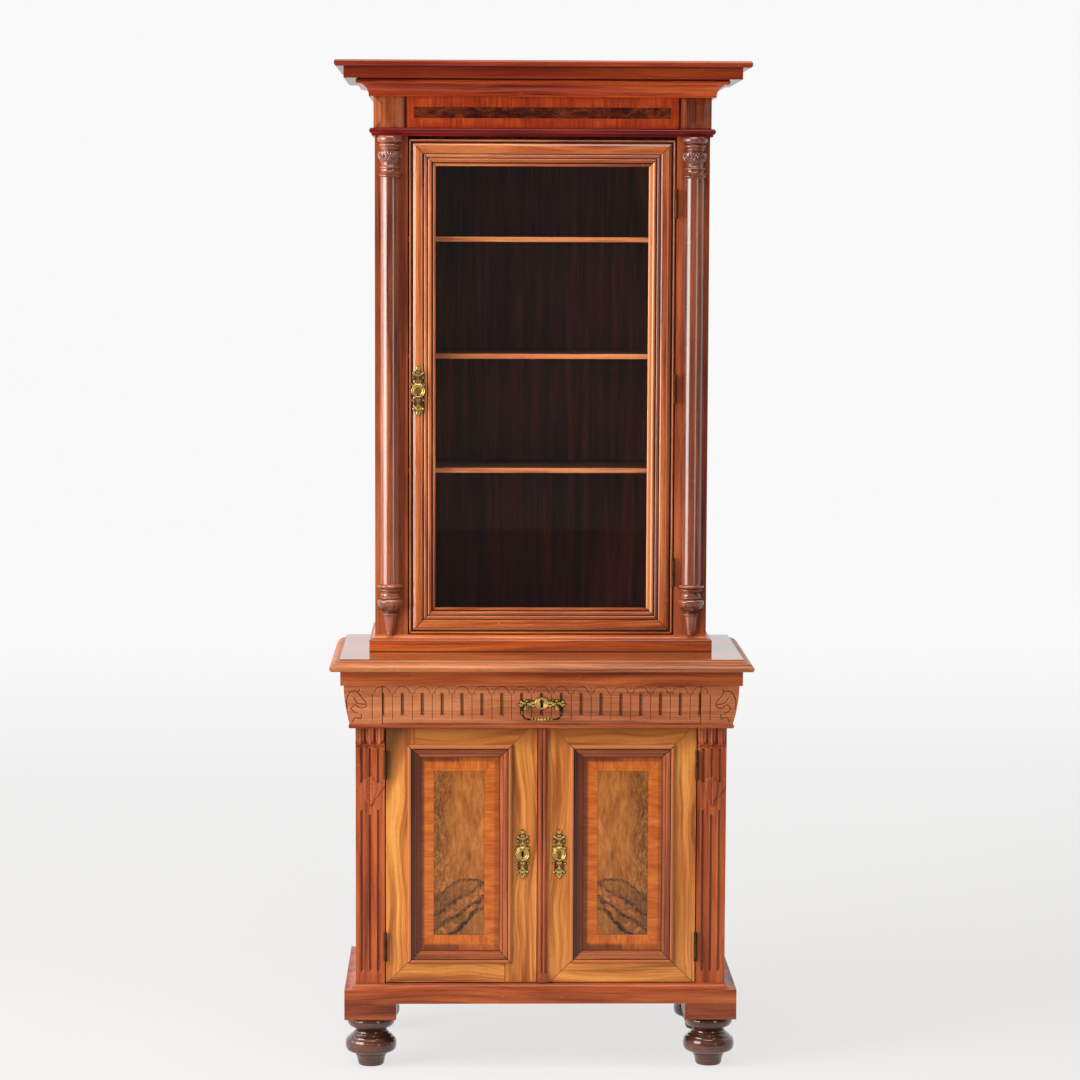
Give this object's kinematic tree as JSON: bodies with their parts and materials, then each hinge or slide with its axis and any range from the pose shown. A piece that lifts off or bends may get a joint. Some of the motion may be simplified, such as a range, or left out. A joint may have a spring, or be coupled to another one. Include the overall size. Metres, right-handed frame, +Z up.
{
  "type": "bookcase",
  "caption": "Tall two-tier bookcase: glazed cabinet between half columns, over a base with a carved drawer, two panelled doors and turned feet",
  "frame": {"origin": "on the floor under the middle of the table top", "axes": "+Z up, front towards -Y, +X to the right seen from the front"},
  "size_m": [0.87, 0.43, 2.076],
  "materials": {
    "carcass_walnut": "waxed plain walnut",
    "carved_walnut": "polished carved walnut",
    "red_mahogany": "polished reddish veneer",
    "polished_walnut": "high polish over dark walnut",
    "honey_veneer": "polished figured walnut veneer",
    "burl_veneer": "polished burl veneer in a crossband",
    "inner_wood": "dark stained, dull",
    "dark_turned_wood": "dark stained and waxed",
    "door_glass": "clear window glass",
    "aged_brass": "cast brass with a dull patina",
    "hinge_brass": "dull brass",
    "lock_iron": "dull iron"
  },
  "bodies": {
    "root": {"front_feet": "dark_turned_wood", "rear_feet": "dark_turned_wood", "foot_blocks": "carved_walnut", "plinth_frame": "carved_walnut", "lower_side_left": "carcass_walnut", "lower_side_right": "carcass_walnut", "lower_boards": "inner_wood", "lower_back": "inner_wood", "lower_shelf": "inner_wood", "shelf_cleats": "inner_wood", "pilaster_left": "carved_walnut", "pilaster_right": "carved_walnut", "bead_rail": "carved_walnut", "drawer_tier_left": "carved_walnut", "drawer_tier_right": "carved_walnut", "drawer_guides": "inner_wood", "apron_frame": "carved_walnut", "table_top": "carved_walnut", "lower_hinge_pins": "hinge_brass", "upper_base_moulding": "carved_walnut", "upper_side_left": "carcass_walnut", "upper_side_right": "carcass_walnut", "upper_boards": "inner_wood", "upper_back": "inner_wood", "front_stile_left": "polished_walnut", "front_stile_right": "polished_walnut", "bookshelves": "inner_wood", "column_left": "polished_walnut", "column_right": "polished_walnut", "upper_hinge_pins": "hinge_brass", "necking_moulding": "red_mahogany", "frieze_rail": "red_mahogany", "frieze_inlay": "burl_veneer", "frieze_blocks": "red_mahogany", "cornice_moulding": "red_mahogany", "cornice_top_board": "red_mahogany"},
    "glass_door": {"glass_door_frame": "honey_veneer", "glass_pane": "door_glass", "glazing_beads": "inner_wood", "glass_door_hinge_leaves": "hinge_brass", "glass_door_escutcheon": "aged_brass", "glass_door_lock": "lock_iron"},
    "glass_door_bolt": {"glass_door_lock_bolt": "lock_iron"},
    "left_door": {"left_door_frame": "honey_veneer", "left_door_panel": "burl_veneer", "left_door_moulding": "honey_veneer", "left_door_hinge_leaves": "hinge_brass", "left_door_escutcheon": "aged_brass"},
    "right_door": {"right_door_frame": "honey_veneer", "right_door_panel": "burl_veneer", "right_door_moulding": "honey_veneer", "right_door_hinge_leaves": "hinge_brass", "right_door_escutcheon": "aged_brass", "right_door_lock": "lock_iron", "astragal": "honey_veneer"},
    "right_door_bolt": {"right_door_lock_bolt": "lock_iron"},
    "drawer": {"drawer_front": "carved_walnut", "drawer_box": "inner_wood", "drawer_pull_plate": "aged_brass"},
    "bail": {"drawer_bail": "aged_brass"}
  },
  "joints": [
    {"name": "glass_door_hinge", "type": "hinge", "parent": "root", "child": "glass_door", "pos_m": [0.2755, -0.0726, 1.404], "axis": [0, 0, 1], "range_deg": [0, 110]},
    {"name": "glass_door_bolt_slide", "type": "slide", "parent": "glass_door", "child": "glass_door_bolt", "axis": [-1, 0, 0], "range_m": [0, 0.007]},
    {"name": "left_door_hinge", "type": "hinge", "parent": "root", "child": "left_door", "pos_m": [-0.3218, -0.1666, 0.444], "axis": [0, 0, -1], "range_deg": [0, 110]},
    {"name": "right_door_hinge", "type": "hinge", "parent": "root", "child": "right_door", "pos_m": [0.3218, -0.1666, 0.444], "axis": [0, 0, 1], "range_deg": [0, 110]},
    {"name": "right_door_bolt_slide", "type": "slide", "parent": "right_door", "child": "right_door_bolt", "axis": [-1, 0, 0], "range_m": [0, 0.007]},
    {"name": "drawer_slide", "type": "slide", "parent": "root", "child": "drawer", "axis": [0, -1, 0], "range_m": [0, 0.28]},
    {"name": "bail_hinge", "type": "hinge", "parent": "drawer", "child": "bail", "pos_m": [0, -0.19143, 0.755], "axis": [-1, 0, 0], "range_deg": [0, 85]}
  ]
}
